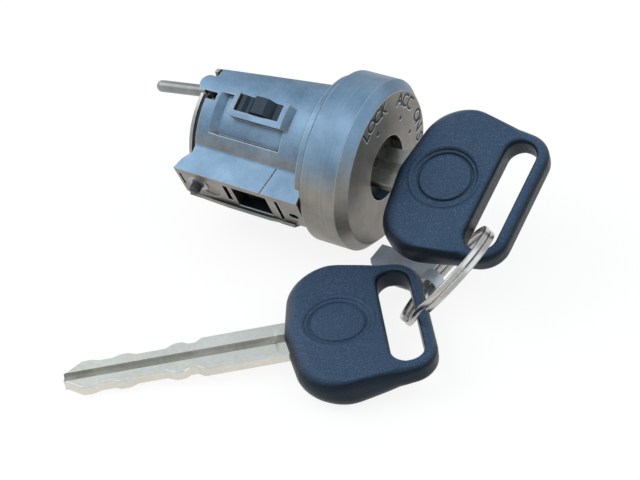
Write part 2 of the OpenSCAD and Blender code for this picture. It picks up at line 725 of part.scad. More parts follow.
// Keys
module blade_outline() polygon(concat([for (p = blade_edge) [-p.x, p.y]],
    [for (i = [len(blade_edge) - 1:-1:0]) [-blade_edge[i].x, -blade_edge[i].y]]));
module blade() difference() {
    translate([0, 0, -blade_t / 2]) linear_extrude(blade_t) blade_outline();
    for (z = [-1, 1]) translate([-blade_len - over, -groove_w / 2, z * blade_t / 2 - groove_deep])
        cube([blade_len + over - groove_from, groove_w, 2 * groove_deep]);
}
module corner_bead(u, w, r, t) translate([u, w, 0]) rotate_extrude($fn = soft_fn)
    translate([r - t / 2, 0]) circle(r = t / 2, $fn = soft_fn);
module bow() difference() {
    hull() {
        for (s = [-1, 1]) {
            corner_bead(bow_corner, s * (bow_half_w - bow_corner), bow_corner, bow_t);
            corner_bead(bow_len - bow_end_corner, s * (bow_end_half_w - bow_end_corner),
                bow_end_corner, bow_end_t);
        }
        corner_bead(bow_corner - bow_bulge, 0, bow_corner, bow_t);
    }
    translate([slot_mid - slot_w / 2, slot_w / 2 - slot_half_len, -bow_t])
        cube([slot_w, 2 * slot_half_len - slot_w, 2 * bow_t]);
    for (s = [-1, 1]) translate([slot_mid, s * (slot_half_len - slot_w / 2), -bow_t])
        cylinder(h = 2 * bow_t, r = slot_w / 2, $fn = soft_fn);
    for (z = [0, 1]) mirror([0, 0, z]) hull() for (s = [-1, 1])
        translate([slot_mid, s * (slot_half_len - slot_w / 2), slot_flare_z])
        cylinder(h = slot_flare, r1 = slot_w / 2, r2 = slot_w / 2 + slot_flare, $fn = soft_fn);
    for (s = [-1, 1]) translate([medallion_mid, 0, s * bow_t / 2])
        cylinder(h = 2 * medallion_deep, r = medallion_r, center = true);
    translate([0, 0, -blade_t / 2]) linear_extrude(blade_t) intersection() {
        blade_outline();
        translate([-bow_len, -bow_half_w]) square([2 * bow_len, 2 * bow_half_w]);
    }
}
module key_blade() color([0.78, 0.77, 0.72]) on_key() blade();
module key_bow() color([0.09, 0.1, 0.13]) on_key() bow();
module spare_key_blade() color([0.78, 0.77, 0.72]) on_spare() blade();
module spare_key_bow() color([0.09, 0.1, 0.13]) on_spare() bow();

// Ring and tag
// The ring's two turns are flat, and the wire steps from one to the other over a short jog
function jog(a) = min(1, max(0, (a - 360 + ring_jog) / ring_jog)) - 1 / 2;
module split_ring() color([0.62, 0.61, 0.6]) on_ring() rotate([0, 0, ring_start]) {
    sweep = 720 - ring_jog - ring_end_gap;
    path = [for (i = [0:ring_steps]) let (a = sweep * i / ring_steps)
        [a, (wire_w + ring_turn_gap) * jog(a)]];
    wind(ring_r, path, flat_wire(wire_t, wire_w, wire_corner));
}
module tag_sheet() {
    x1 = tag_loop_at.x;
    x0 = x1 - tag_loop_r - tag_len;
    y1 = tag_loop_at.y - tag_loop_w / 2 + tag_w;
    y0 = y1 - tag_w;
    polygon([[x0, y1], [x0, y0 + tag_corner.y], [x0 + tag_corner.x, y0], [x1, y0], [x1, y0 + tag_loop_w],
        [x1 - tag_loop_r, y0 + tag_loop_w], [x1 - tag_loop_r, y1]]);
}
module key_tag() color([0.62, 0.67, 0.74]) translate([0, 0, tag_z]) difference() {
    union() {
        linear_extrude(tag_t) tag_sheet();
        translate([0, 0, tag_t + tag_slit]) linear_extrude(tag_t) tag_sheet();
        translate([tag_loop_at.x, tag_loop_at.y, tag_loop_r + tag_t]) rotate([90, 0, 0])
            cylinder(h = tag_loop_w, r = tag_loop_r + tag_t, center = true);
    }
    translate([tag_loop_at.x, tag_loop_at.y, tag_loop_r + tag_t]) rotate([90, 0, 0])
        cylinder(h = tag_loop_w + 2 * over, r = tag_loop_r, center = true);
}

cylinder_case();
rear_gasket();
rear_plate();
rail_cover();
cover_rivets();
stop_pin_bush();
stop_pin();
stop_pin_spring();
reminder_lever();
reminder_pin();
interlock_rod();
rod_spring();
interlock_lever();
lever_pin();
rotor();
rotor_clip();
wafer(0);  // wafer_1
wafer(1);  // wafer_2
wafer(2);  // wafer_3
wafer(3);  // wafer_4
wafer(4);  // wafer_5
wafer(5);  // wafer_6
wafer(6);  // wafer_7
wafer(7);  // wafer_8
wafer_springs();
key_blade();
key_bow();
split_ring();
key_tag();
spare_key_blade();
spare_key_bow();
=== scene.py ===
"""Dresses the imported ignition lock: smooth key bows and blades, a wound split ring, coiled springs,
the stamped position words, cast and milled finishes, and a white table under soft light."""
import json
import math

import bpy
import numpy as np
from mathutils import Matrix, Vector


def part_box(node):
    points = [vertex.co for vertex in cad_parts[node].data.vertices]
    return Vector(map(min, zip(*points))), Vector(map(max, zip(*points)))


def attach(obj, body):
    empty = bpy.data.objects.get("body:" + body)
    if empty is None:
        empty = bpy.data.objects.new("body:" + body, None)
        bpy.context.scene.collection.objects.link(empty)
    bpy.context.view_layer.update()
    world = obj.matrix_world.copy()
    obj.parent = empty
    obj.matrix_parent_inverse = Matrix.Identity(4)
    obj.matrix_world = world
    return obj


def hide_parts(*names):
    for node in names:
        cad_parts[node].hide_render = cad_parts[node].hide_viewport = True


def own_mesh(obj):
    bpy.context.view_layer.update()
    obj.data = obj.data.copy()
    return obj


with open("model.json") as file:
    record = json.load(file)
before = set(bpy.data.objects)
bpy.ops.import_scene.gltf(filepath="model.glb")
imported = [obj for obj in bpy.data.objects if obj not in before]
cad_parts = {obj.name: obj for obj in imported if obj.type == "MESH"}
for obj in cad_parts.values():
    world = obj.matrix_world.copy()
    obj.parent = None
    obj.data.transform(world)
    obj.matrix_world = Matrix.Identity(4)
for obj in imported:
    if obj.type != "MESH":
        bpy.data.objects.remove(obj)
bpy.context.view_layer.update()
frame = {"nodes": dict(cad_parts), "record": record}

bl_info = {
    "name": "Ignition Lock Dresser",
    "version": (1, 0, 0),
    "blender": (4, 5, 0),
    "location": "View3D > Sidebar > Lock",
    "description": "Builds the smooth pieces and finishes of an ignition lock with its keys",
    "category": "Object",
}

MM = 0.001
FULL_TURN = 2 * math.pi
HEAD_BACK_TO_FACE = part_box("cylinder_case")[1].x
TABLE_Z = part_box("cylinder_case")[0].z


# Settings


def length(name, mm, words):
    """A length property with its default in millimetres."""
    return bpy.props.FloatProperty(name=name, description=words, default=mm * MM, unit="LENGTH",
                                   subtype="DISTANCE", precision=5)


def degrees(name, value, words):
    """An angle property with its default in degrees."""
    return bpy.props.FloatProperty(name=name, description=words, default=math.radians(value),
                                   unit="ROTATION", subtype="ANGLE")


def colour(name, value, words):
    """A colour property, as linear red, green and blue."""
    return bpy.props.FloatVectorProperty(name=name, description=words, default=value, size=3,
                                         subtype="COLOR", min=0.0, max=1.0)


def number(name, value, words, most=1000.0):
    """A plain number property from 0 to a most."""
    return bpy.props.FloatProperty(name=name, description=words, default=value, min=0.0, max=most)


class KeySizes(bpy.types.PropertyGroup):
    """Sizes of the two keys, as in the solid model."""
    bow_length: length("Bow length", 27.2, "From the blade side of the bow to its far end")
    bow_half_width: length("Bow half width", 17.3, "Half width of the bow at the blade")
    end_half_width: length("End half width", 15.4, "Half width of the bow at its far end")
    bow_corner: length("Bow corner", 9.0, "Corner radius at the blade")
    end_corner: length("End corner", 6.0, "Corner radius at the far end")
    bow_bulge: length("Bow bulge", 1.2, "Bulge of the bow toward the blade")
    bow_thickness: length("Bow thickness", 6.6, "Thickness of the bow at the blade")
    end_thickness: length("End thickness", 4.8, "Thickness of the bow at its far end")
    slot_middle: length("Slot middle", 21.5, "Middle of the ring slot from the blade side")
    slot_width: length("Slot width", 6.4, "Width of the ring slot")
    slot_half_length: length("Slot half length", 12.8, "Half length of the ring slot")
    slot_round: length("Slot rounding", 1.0, "Rounding of the slot's edges")
    medallion_middle: length("Medallion middle", 9.5, "Middle of the plain medallion")
    medallion_radius: length("Medallion radius", 6.6, "Radius of the plain medallion")
    medallion_depth: length("Medallion depth", 0.3, "Depth of the plain medallion")
    blade_width: length("Blade width", 9.0, "Width of the blade where it isn't cut")
    blade_thickness: length("Blade thickness", 2.2, "Thickness of the blade")
    blade_length: length("Blade length", 44.0, "From the bow to the tip")
    tang_length: length("Tang length", 6.0, "Part of the blade inside the bow")
    groove_width: length("Groove width", 1.7, "Width of the milled groove")
    groove_depth: length("Groove depth", 0.5, "Depth of the milled groove")
    edge_chamfer: length("Edge chamfer", 0.22, "Chamfer along the blade's edges")


class RingSizes(bpy.types.PropertyGroup):
    """Sizes of the split ring, as in the solid model."""
    radius: length("Radius", 11.7, "Radius to the middle of the wire")
    wire_width: length("Wire width", 1.15, "Width of the wire")
    wire_thickness: length("Wire thickness", 1.0, "Thickness of the wire")
    turn_gap: length("Turn gap", 0.08, "Gap between the two turns")
    jog: degrees("Jog", 40, "Angle over which the wire steps from one turn to the other")
    start: degrees("Start", 100, "Angle of the wire's first end")


class LegendSizes(bpy.types.PropertyGroup):
    """The position words and marks on the face."""
    letter_height: length("Letter height", 2.7, "Height of the letters")
    letter_radius: length("Letter radius", 12.9, "Radius of the letters' feet")
    letter_spacing: degrees("Letter spacing", 10.3, "Angle from one letter to the next")
    letter_weight: length("Letter weight", 0.09, "How far the strokes are thickened")
    # The glint is a painted highlight set below the strokes
    glint_shift: length("Glint shift", 0.24, "Shift of the bright lower edge below the strokes")
    dot_radius: length("Dot radius", 0.5, "Radius of the position marks")
    dot_circle: length("Dot circle", 10.46, "Radius of the circle of marks")


class Finishes(bpy.types.PropertyGroup):
    """Colours of the finishes."""
    # Casting tones where it faces up: the grain, cooled by a painted reflection of light from above
    cast_dark: colour("Casting, dark", (0.075, 0.125, 0.185), "Darker grain where the casting faces up")
    cast_light: colour("Casting, light", (0.235, 0.355, 0.490), "Lighter grain where the casting faces up")
    # Casting tones on the sides: the grain, warmed by a painted reflection from below
    side_dark: colour("Sides, dark", (0.120, 0.110, 0.097), "Darker grain on the casting's sides")
    side_light: colour("Sides, light", (0.355, 0.330, 0.295), "Lighter grain on the casting's sides")
    # Bow tones where it faces up: the moulding's dark colour, turned blue by painted light from above
    bow_dark: colour("Bow, dark", (0.014, 0.031, 0.062), "Darker grain of the bows")
    bow_light: colour("Bow, light", (0.058, 0.098, 0.168), "Lighter grain of the bows")
    blade_dark: colour("Blade, dark", (0.52, 0.50, 0.44), "Darker nickel silver")
    blade_light: colour("Blade, light", (0.76, 0.74, 0.67), "Lighter nickel silver")
    ring_dark: colour("Ring, dark", (0.32, 0.30, 0.28), "Darker steel of the ring")
    ring_light: colour("Ring, light", (0.62, 0.60, 0.57), "Lighter steel of the ring")
    tag_dark: colour("Tag, dark", (0.52, 0.58, 0.67), "Darker sheet of the tag")
    tag_light: colour("Tag, light", (0.74, 0.79, 0.87), "Lighter sheet of the tag")


class StageSettings(bpy.types.PropertyGroup):
    """Camera, light and table."""
    camera_place: bpy.props.FloatVectorProperty(
        name="Camera place", description="Where the camera stands", size=3, subtype="TRANSLATION",
        unit="LENGTH", default=(0.14203, -0.22291, 0.19389), precision=5)
    azimuth: degrees("Azimuth", 33.90, "Turn of the camera round the lock")
    elevation: degrees("Elevation", 39.21, "Height of the camera above the horizon")
    roll: degrees("Roll", 5.65, "Roll of the camera")
    lens: number("Lens", 89.71, "Focal length in millimetres on a 36 mm sensor")
    table_colour: colour("Table", (0.92, 0.90, 0.87), "Colour of the table")
    table_glow: number("Table glow", 0.8, "Share of plain white in the table as seen", most=1.0)
    key_light: number("Key light", 1.5, "Power of the main lamp in watts")
    fill_light: number("Fill light", 0.6, "Power of the fill lamp in watts")
    low_sky: colour("Low sky", (0.80, 0.79, 0.77), "Colour of the light near the horizon")
    high_sky: colour("High sky", (0.74, 0.88, 1.0), "Colour of the light from above")
    world_light: number("World light", 0.65, "Strength of the light all round")


SETTINGS = {"lock_keys": KeySizes, "lock_ring": RingSizes, "lock_legends": LegendSizes,
            "lock_finishes": Finishes, "lock_stage": StageSettings}


# Mesh helpers


def smoothstep(t):
    """3t^2 - 2t^3 on 0 to 1, flat outside."""
    t = np.clip(t, 0.0, 1.0)
    return t * t * (3.0 - 2.0 * t)


def ridge(distance, height, spread):
    """height * exp(-(distance / spread)^2), a soft ridge along distance 0."""
    return height * np.exp(-(distance / spread) ** 2)


def grid_faces(rows, columns, close_rows, close_columns):
    """Quads of a grid of rows x columns points, joined end to end where asked."""
    i = np.arange(rows if close_rows else rows - 1)
    j = np.arange(columns if close_columns else columns - 1)
    i, j = np.meshgrid(i, j, indexing="ij")
    a = i * columns + j
    b = i * columns + (j + 1) % columns
    c = ((i + 1) % rows) * columns + (j + 1) % columns
    d = ((i + 1) % rows) * columns + j
    return np.stack([a, b, c, d], axis=-1).reshape(-1, 4)


def tube_faces(points):
    """Quads of a tube of sections x points round, and the two faces that close its ends."""
    sections, around = points.shape[:2]
    last = (sections - 1) * around
    caps = [list(range(around)), list(range(last, last + around))[::-1]]
    return grid_faces(sections, around, False, True), caps


def mesh_points(mesh):
    """A mesh's points as an array of rows x, y and z."""
    points = np.empty(len(mesh.vertices) * 3)
    mesh.vertices.foreach_get("co", points)
    return points.reshape(-1, 3)


def new_piece(name, points, faces, sharp=None, smooth=True):
    """A mesh object at the origin from an array of points and a list of faces."""
    mesh = bpy.data.meshes.new(name)
    mesh.from_pydata(points.reshape(-1, 3).tolist(), [], faces)
    mesh.update()
    if smooth:
        mesh.shade_smooth()
    if sharp is not None:
        mesh.set_sharp_from_angle(angle=math.radians(sharp))
    piece = bpy.data.objects.new(name, mesh)
    bpy.context.scene.collection.objects.link(piece)
    return piece


def turn_outward(piece):
    """Turns all faces over if the closed mesh has a negative volume."""
    mesh = piece.data
    mesh.calc_loop_triangles()
    corners = np.empty(len(mesh.loop_triangles) * 3, dtype=np.int32)
    mesh.loop_triangles.foreach_get("vertices", corners)
    a, b, c = mesh_points(mesh)[corners.reshape(-1, 3)].transpose(1, 0, 2)
    if np.einsum("ij,ij->i", a, np.cross(b, c)).sum() < 0.0:
        mesh.flip_normals()


def closed_piece(name, points, faces, look, node, body, sharp=None):
    """A closed piece with its look, which replaces a solid and rides on its body."""
    piece = new_piece(name, points, faces, sharp)
    turn_outward(piece)
    piece.data.materials.append(look)
    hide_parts(node)
    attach(piece, body)
    return piece


def place(points, matrix):
    """Points moved by a 4 x 4 matrix."""
    m = np.array(matrix)
    return points @ m[:3, :3].T + m[:3, 3]


# Where the keys and the ring lie, as in the solid model


def turned(angle, axis):
    """A turn by an angle in degrees about an axis."""
    return Matrix.Rotation(math.radians(angle), 4, axis)


KEY_OUT = 14.4 * MM
KEY_ROLL = 21
KEY_PLACE = Matrix.Translation((KEY_OUT, 0, 0)) @ turned(KEY_ROLL, "X")

RING_SPOT = (32.1 * MM, -16.9 * MM, -7.6 * MM)
RING_TURN, RING_LEAN = 181, 52.4
RING_PLACE = Matrix.Translation(RING_SPOT) @ turned(RING_TURN, "Z") @ turned(RING_LEAN, "Y")

# The spare key lies on its tip, and the bar of its bow hangs on the ring, at a drop below its middle
SPARE_X, SPARE_Y, SPARE_TURN = 10.1 * MM, -40.1 * MM, 36.7
TIP_RUN, BAR_RUN = 44.0 * MM, 26.0 * MM
HALF_BLADE, TABLE_GAP = 1.1 * MM, 0.02 * MM
TIP_HEIGHT = HALF_BLADE + TABLE_GAP
BAR_DROP = 5.01 * MM
RING_HEIGHT = RING_SPOT[2] - TABLE_Z
SPARE_TILT = math.asin((RING_HEIGHT - TIP_HEIGHT - BAR_DROP) / (TIP_RUN + BAR_RUN))
SPARE_Z = TABLE_Z + TIP_HEIGHT + TIP_RUN * math.sin(SPARE_TILT)
SPARE_PLACE = (Matrix.Translation((SPARE_X, SPARE_Y, SPARE_Z)) @ turned(SPARE_TURN, "Z")
               @ Matrix.Rotation(-SPARE_TILT, 4, "Y"))


# Bows


OUTLINE_STEPS, SLOT_STEPS = 2000, 400
OUTLINE_END = 1e-4
BLADE_TURN = math.radians(138)
STRETCH_LINES = (20, 24, 50, 90)
FACE_POINTS, EDGE_POINTS = 92, 8
SLOT_EDGE_SHARE, RIM_EDGE_SHARE, END_EDGE_SHARE = 0.3, 0.6, 0.98
NARROW_FACE, WIDE_FACE = 10.0 * MM, 18.0 * MM
DISH_STEP = 0.35 * MM
RIM_HEIGHT, RIM_OUT, RIM_SPREAD = 0.2 * MM, 0.45 * MM, 0.3 * MM
LINE_DEPTH, LINE_IN, LINE_SPREAD = 0.4 * MM, 1.1 * MM, 0.25 * MM


def hull_outline(circles):
    """Upper half of the outline round a set of circles (u, w, r), from the far end to the blade side: at
    each angle the point of the circle that reaches furthest that way. Gives points and their angles."""
    angle = np.linspace(OUTLINE_END, math.pi - OUTLINE_END, OUTLINE_STEPS)
    normal = np.stack([np.cos(angle), np.sin(angle)], axis=-1)
    centre = circles[:, :2]
    reach = normal @ centre.T + circles[:, 2]
    best = reach.argmax(axis=1)
    return centre[best] + circles[best, 2, None] * normal, angle


def along(points, share):
    """Points at the given shares of a polyline's length."""
    steps = np.hypot(*np.diff(points, axis=0).T)
    run = np.concatenate([[0.0], np.cumsum(steps)]) / steps.sum()
    return np.stack([np.interp(share, run, points[:, 0]), np.interp(share, run, points[:, 1])], axis=-1)


def share_at(points, index):
    """Share of a polyline's length at a point's index."""
    steps = np.hypot(*np.diff(points, axis=0).T)
    return steps[:index].sum() / steps.sum()


def bow_lines(keys):
    """Lines from the slot's edge to the outer edge, all round. Both half outlines are cut into four
    matching stretches, and the points at equal shares of a stretch are joined. Gives (inner, outer)."""
    outer_circles = np.array([
        [keys.bow_corner, keys.bow_half_width - keys.bow_corner, keys.bow_corner],
        [keys.bow_length - keys.end_corner, keys.end_half_width - keys.end_corner, keys.end_corner],
        [keys.bow_corner - keys.bow_bulge, 0.0, keys.bow_corner]])
    rim, angle = hull_outline(outer_circles)
    rim = np.concatenate([[[keys.bow_length, 0.0]], rim, [[-keys.bow_bulge, 0.0]]])
    side = int(np.argmax(np.hypot(*np.diff(rim[1:-1], axis=0).T))) + 1
    blade_turn = int(np.searchsorted(angle, BLADE_TURN)) + 1
    rim_marks = [0.0, share_at(rim, 1), share_at(rim, side), share_at(rim, blade_turn), 1.0]

    half = keys.slot_width / 2
    straight = keys.slot_half_length - half
    bend = np.linspace(0.0, math.pi, SLOT_STEPS)
    slot = np.concatenate([
        [[keys.slot_middle + half, 0.0]],
        np.stack([keys.slot_middle + half * np.cos(bend), straight + half * np.sin(bend)], axis=-1),
        [[keys.slot_middle - half, 0.0]]])
    slot_marks = [0.0, share_at(slot, 1), 0.5, share_at(slot, len(slot) - 2), 1.0]

    marks = np.arange(len(rim_marks))
    ticks = np.concatenate([k + np.arange(n) / n for k, n in enumerate(STRETCH_LINES)] + [marks[-1:]])
    outer = along(rim, np.interp(ticks, marks, rim_marks))
    inner = along(slot, np.interp(ticks, marks, slot_marks))
    mirror = np.array([1.0, -1.0])
    outer = np.concatenate([outer, outer[-2:0:-1] * mirror])
    inner = np.concatenate([inner, inner[-2:0:-1] * mirror])
    return inner, outer


def medallion_relief(keys, spot):
    """Height that the medallion adds: a dish that sinks by a smooth step, a soft rim outside it and a fine
    line inside it, all by the distance from its middle."""
    distance = np.hypot(spot[..., 0] - keys.medallion_middle, spot[..., 1])
    inward = keys.medallion_radius - distance
    dish = keys.medallion_depth * smoothstep(inward / DISH_STEP)
    rim = ridge(inward + RIM_OUT, RIM_HEIGHT, RIM_SPREAD)
    line = ridge(inward - LINE_IN, LINE_DEPTH, LINE_SPREAD)
    return rim - line - dish


def bow_surface(keys):
    """A closed tube of sections round the slot. Each section goes up the slot's wall, round its edge by a
    quarter circle, across the face, and round the outer edge by a quarter circle to the middle plane;
    its lower half is the mirror image. The half thickness falls in a straight line from blade to end, and
    the medallion's relief is added to it."""
    inner, outer = bow_lines(keys)
    reach = np.hypot(*(outer - inner).T)[:, None]
    thick, thin = keys.bow_thickness / 2, keys.end_thickness / 2
    slot_r = np.minimum(keys.slot_round, SLOT_EDGE_SHARE * reach)
    rim_r = np.minimum(thin * END_EDGE_SHARE, RIM_EDGE_SHARE * reach)
    rim_r = rim_r + (thick - thin) * smoothstep((reach - NARROW_FACE) / (WIDE_FACE - NARROW_FACE))

    wall = np.array([0.0, 0.5])
    rising = np.linspace(0.0, math.pi / 2, EDGE_POINTS)
    falling = rising[::-1]
    across = np.linspace(0.0, 1.0, FACE_POINTS)[1:-1]
    ends = np.zeros((len(reach), len(wall)))
    level = np.zeros((len(reach), len(across)))
    run = np.concatenate([
        ends, slot_r * (1 - np.cos(rising)), slot_r + across * (reach - slot_r - rim_r),
        reach - rim_r * (1 - np.cos(falling)), ends + reach], axis=1)
    spot = inner[:, None, :] + (outer - inner)[:, None, :] * (run / reach)[:, :, None]
    half = np.interp(spot[..., 0], [keys.bow_corner, keys.bow_length - keys.end_corner], [thick, thin])
    sink = np.concatenate([
        ends, slot_r * (1 - np.sin(rising)), level, rim_r * (1 - np.sin(falling)), ends], axis=1)
    height = half - sink
    height[:, :len(wall)] = wall * (half[:, :len(wall)] - slot_r)
    height[:, -len(wall):] = wall[::-1] * (half[:, -len(wall):] - rim_r)
    height = height + medallion_relief(keys, spot)

    top = np.concatenate([spot, height[..., None]], axis=-1)
    low = top[:, -2:0:-1] * np.array([1.0, 1.0, -1.0])
    points = np.concatenate([top, low], axis=1)
    return points, grid_faces(points.shape[0], points.shape[1], True, True)


class LOCK_OT_bows(bpy.types.Operator):
    """Builds both key bows as smooth mouldings with a rounded ring slot"""
    bl_idname = "lock.bows"
    bl_label = "Key bows"

    def execute(self, context):
        points, quads = bow_surface(context.scene.lock_keys)
        for name, node, body, where in (("bow_moulding", "key_bow", "key", KEY_PLACE),
                                        ("spare_bow_moulding", "spare_key_bow", "spare_key", SPARE_PLACE)):
            closed_piece(name, place(points, where), quads.tolist(), bow_finish(), node, body)
        return {"FINISHED"}


# Blades


EDGE_STEPS, CUTTER_STEPS, BLADE_SECTIONS = 1600, 15, 420
GROOVE_START, GROOVE_RUN_OUT = 1.5 * MM, 4.0 * MM
LIP_OUT, LIP_IN = 0.25 * MM, 0.1 * MM
BLADE_CREASE = 22
# Faces of a section that are the groove's floor and slopes, above and below; they take painted shade
GROOVE_COLUMNS = (2, 3, 4, 10, 11, 12)
# Millimetres from the bow, and how far the edge is cut in there on both sides
FIRST_CUT = 17.0
BLADE_CUTS = np.array([
    [-12.0, 1.1], [-0.01, 1.1], [0.0, 0.0], [FIRST_CUT, 0.0], [FIRST_CUT + 1.2, 1.0],
    [FIRST_CUT + 2.6, 1.0], [FIRST_CUT + 3.8, 0.3], [FIRST_CUT + 5.4, 0.3], [FIRST_CUT + 7.2, 1.3],
    [FIRST_CUT + 12.8, 1.3], [FIRST_CUT + 14.4, 0.6], [FIRST_CUT + 16.0, 0.6], [FIRST_CUT + 17.4, 1.2],
    [FIRST_CUT + 20.0, 1.2], [FIRST_CUT + 21.4, 0.7], [40.4, 0.7], [44.0, 3.5]]) * MM


def blade_surface(keys):
    """Sections carried from the tang to the tip. The half width follows the cut edge, blurred over about
    half a millimetre as a milling cutter leaves it. Each section is a flat bar with small chamfers and a
    groove on both faces, which runs out before the bow on a smooth step."""
    fine = np.linspace(-keys.tang_length, keys.blade_length, EDGE_STEPS)
    edge = keys.blade_width / 2 - np.interp(fine, BLADE_CUTS[:, 0], BLADE_CUTS[:, 1])
    window = np.hanning(CUTTER_STEPS)
    soft = np.convolve(np.pad(edge, CUTTER_STEPS // 2, mode="edge"), window / window.sum(), mode="valid")
    run = np.linspace(-keys.tang_length, keys.blade_length, BLADE_SECTIONS)
    half_w = np.interp(run, fine, soft)[:, None]
    groove = keys.groove_depth * smoothstep((run - GROOVE_START) / GROOVE_RUN_OUT)[:, None]
    chamfer = keys.edge_chamfer
    ones = np.ones_like(half_w)
    lip, floor_side = ones * (keys.groove_width / 2 + LIP_OUT), ones * (keys.groove_width / 2 - LIP_IN)
    face = ones * keys.blade_thickness / 2
    across = np.concatenate([-half_w, -half_w + chamfer, -lip, -floor_side,
                             floor_side, lip, half_w - chamfer, half_w], axis=1)
    high = np.concatenate([face - chamfer, face, face, face - groove,
                           face - groove, face, face, face - chamfer], axis=1)
    across = np.concatenate([across, across[:, ::-1]], axis=1)
    high = np.concatenate([high, -high], axis=1)
    outward = np.repeat(-run[:, None], across.shape[1], axis=1)
    return np.stack([outward, across, high], axis=-1)


class LOCK_OT_blades(bpy.types.Operator):
    """Builds both key blades with their cuts and milled grooves"""
    bl_idname = "lock.blades"
    bl_label = "Key blades"

    def execute(self, context):
        points = blade_surface(context.scene.lock_keys)
        quads, caps = tube_faces(points)
        face = np.arange(len(quads) + len(caps))
        in_groove = np.isin(face % points.shape[1], GROOVE_COLUMNS) & (face < len(quads))
        for name, node, body, where in (("blade_milled", "key_blade", "key", KEY_PLACE),
                                        ("spare_blade_milled", "spare_key_blade", "spare_key", SPARE_PLACE)):
            piece = closed_piece(name, place(points, where), quads.tolist() + caps, blade_finish(), node,
                                 body, BLADE_CREASE)
            piece.data.materials.append(groove_shade_finish())
            piece.data.polygons.foreach_set("material_index", in_groove.astype(np.int32))
        return {"FINISHED"}


# Ring


RING_SECTIONS, WIRE_POINTS = 380, 20
WIRE_SQUARENESS = 0.5
RING_MOUTH = math.radians(2)
WIRE_CREASE = 50


def square_wave(wave):
    """A sine or cosine raised to a power with its sign kept, which squares a circle's sides."""
    return np.sign(wave) * np.abs(wave) ** WIRE_SQUARENESS


def ring_surface(ring):
    """A rounded strip carried round two flat turns. The height is minus half the pitch on the first turn and
    plus half on the second, with a smooth step between them over the jog."""
    turn = np.linspace(0.0, 2 * FULL_TURN - ring.jog - RING_MOUTH, RING_SECTIONS)[:, None]
    pitch = ring.wire_width + ring.turn_gap
    rise = pitch * (smoothstep((turn - FULL_TURN + ring.jog) / ring.jog) - 0.5)
    t = np.linspace(0.0, FULL_TURN, WIRE_POINTS, endpoint=False)[None, :]
    r = ring.radius + ring.wire_thickness / 2 * square_wave(np.cos(t))
    up = ring.wire_width / 2 * square_wave(np.sin(t))
    a = turn + ring.start
    return np.stack([r * np.cos(a), r * np.sin(a), rise + up], axis=-1)


class LOCK_OT_ring(bpy.types.Operator):
    """Builds the split ring as two flat turns of rounded wire"""
    bl_idname = "lock.ring"
    bl_label = "Split ring"

    def execute(self, context):
        points = ring_surface(context.scene.lock_ring)
        quads, caps = tube_faces(points)
        closed_piece("ring_wire", place(points, RING_PLACE), quads.tolist() + caps, ring_finish(),
                     "split_ring", "ring", WIRE_CREASE)
        return {"FINISHED"}


# Springs


COILS, COIL_SECTIONS, COIL_POINTS = 4, 40, 12
PIN_WIRE, ROD_WIRE = 0.2 * MM, 0.18 * MM


def spring_surface(radius, wire, rise):
    """A round wire carried up a helix: each section is a circle in the plane through the spring's axis, and
    it climbs in step with the turn."""
    turn = np.linspace(0.0, FULL_TURN * COILS, COIL_SECTIONS * COILS + 1)[:, None]
    t = np.linspace(0.0, FULL_TURN, COIL_POINTS, endpoint=False)[None, :]
    r = radius + wire * np.cos(t)
    climb = rise * turn / turn[-1] + wire * np.sin(t)
    return np.stack([r * np.cos(turn), r * np.sin(turn), climb], axis=-1)


class LOCK_OT_springs(bpy.types.Operator):
    """Winds the springs of the stop pin and the rod round the axes of their joints"""
    bl_idname = "lock.springs"
    bl_label = "Springs"

    def execute(self, context):
        joints = {joint["name"]: joint for joint in frame["record"]["behaviour"]["joints"]}
        for name, node, joint, wire in (("pin_coil", "stop_pin_spring", "stop_pin_press", PIN_WIRE),
                                        ("rod_coil", "rod_spring", "rod_press", ROD_WIRE)):
            corners = mesh_points(frame["nodes"][node].data)
            axis = np.array(joints[joint]["axis"])
            height = corners @ axis
            low, high = height.min(), height.max()
            flat = corners - height[:, None] * axis
            middle = (flat.min(axis=0) + flat.max(axis=0)) / 2
            radius = np.linalg.norm(flat - middle, axis=1).max() - wire
            points = spring_surface(radius, wire, high - low - 2 * wire)
            quads, caps = tube_faces(points)
            upright = Vector(axis).to_track_quat("Z", "Y").to_matrix().to_4x4()
            where = Matrix.Translation(middle + (low + wire) * axis) @ upright
            piece = closed_piece(name, place(points, where), quads.tolist() + caps, drawn_finish(), node,
                                 "case", WIRE_CREASE)
            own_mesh(piece)
        return {"FINISHED"}


# Position words


# Each word with the angle of its middle, in degrees from the top
POSITIONS = (("LOCK", -14.5), ("ACC", 39.5), ("ON", 77.0), ("START", 116.0))
CAPITAL_SHARE = 0.7
LETTER_STEPS, DOT_POINTS = 6, 24
RELIEF = 0.02 * MM
GLINT_SINK = 0.01 * MM
# Rings of a mark, as shares of its radius and of the relief
DOT_RINGS = np.array([[1.0, 0.0], [0.9, 1.0], [0.55, 1.0], [0.0, 1.0]])


def letter_shape(letter, height, weight):
    """The thin form of a letter as points and faces, with its foot on the x axis and its middle at 0."""
    curve = bpy.data.curves.new("letter", "FONT")
    curve.body = letter
    curve.align_x = "CENTER"
    curve.size = height / CAPITAL_SHARE
    curve.offset = weight
    curve.extrude = RELIEF
    curve.resolution_u = LETTER_STEPS
    holder = bpy.data.objects.new("letter", curve)
    bpy.context.scene.collection.objects.link(holder)
    bpy.context.view_layer.update()
    mesh = bpy.data.meshes.new_from_object(holder.evaluated_get(bpy.context.evaluated_depsgraph_get()))
    points = mesh_points(mesh)
    faces = [list(polygon.vertices) for polygon in mesh.polygons]
    bpy.data.objects.remove(holder)
    bpy.data.curves.remove(curve)
    bpy.data.meshes.remove(mesh)
    return points, faces


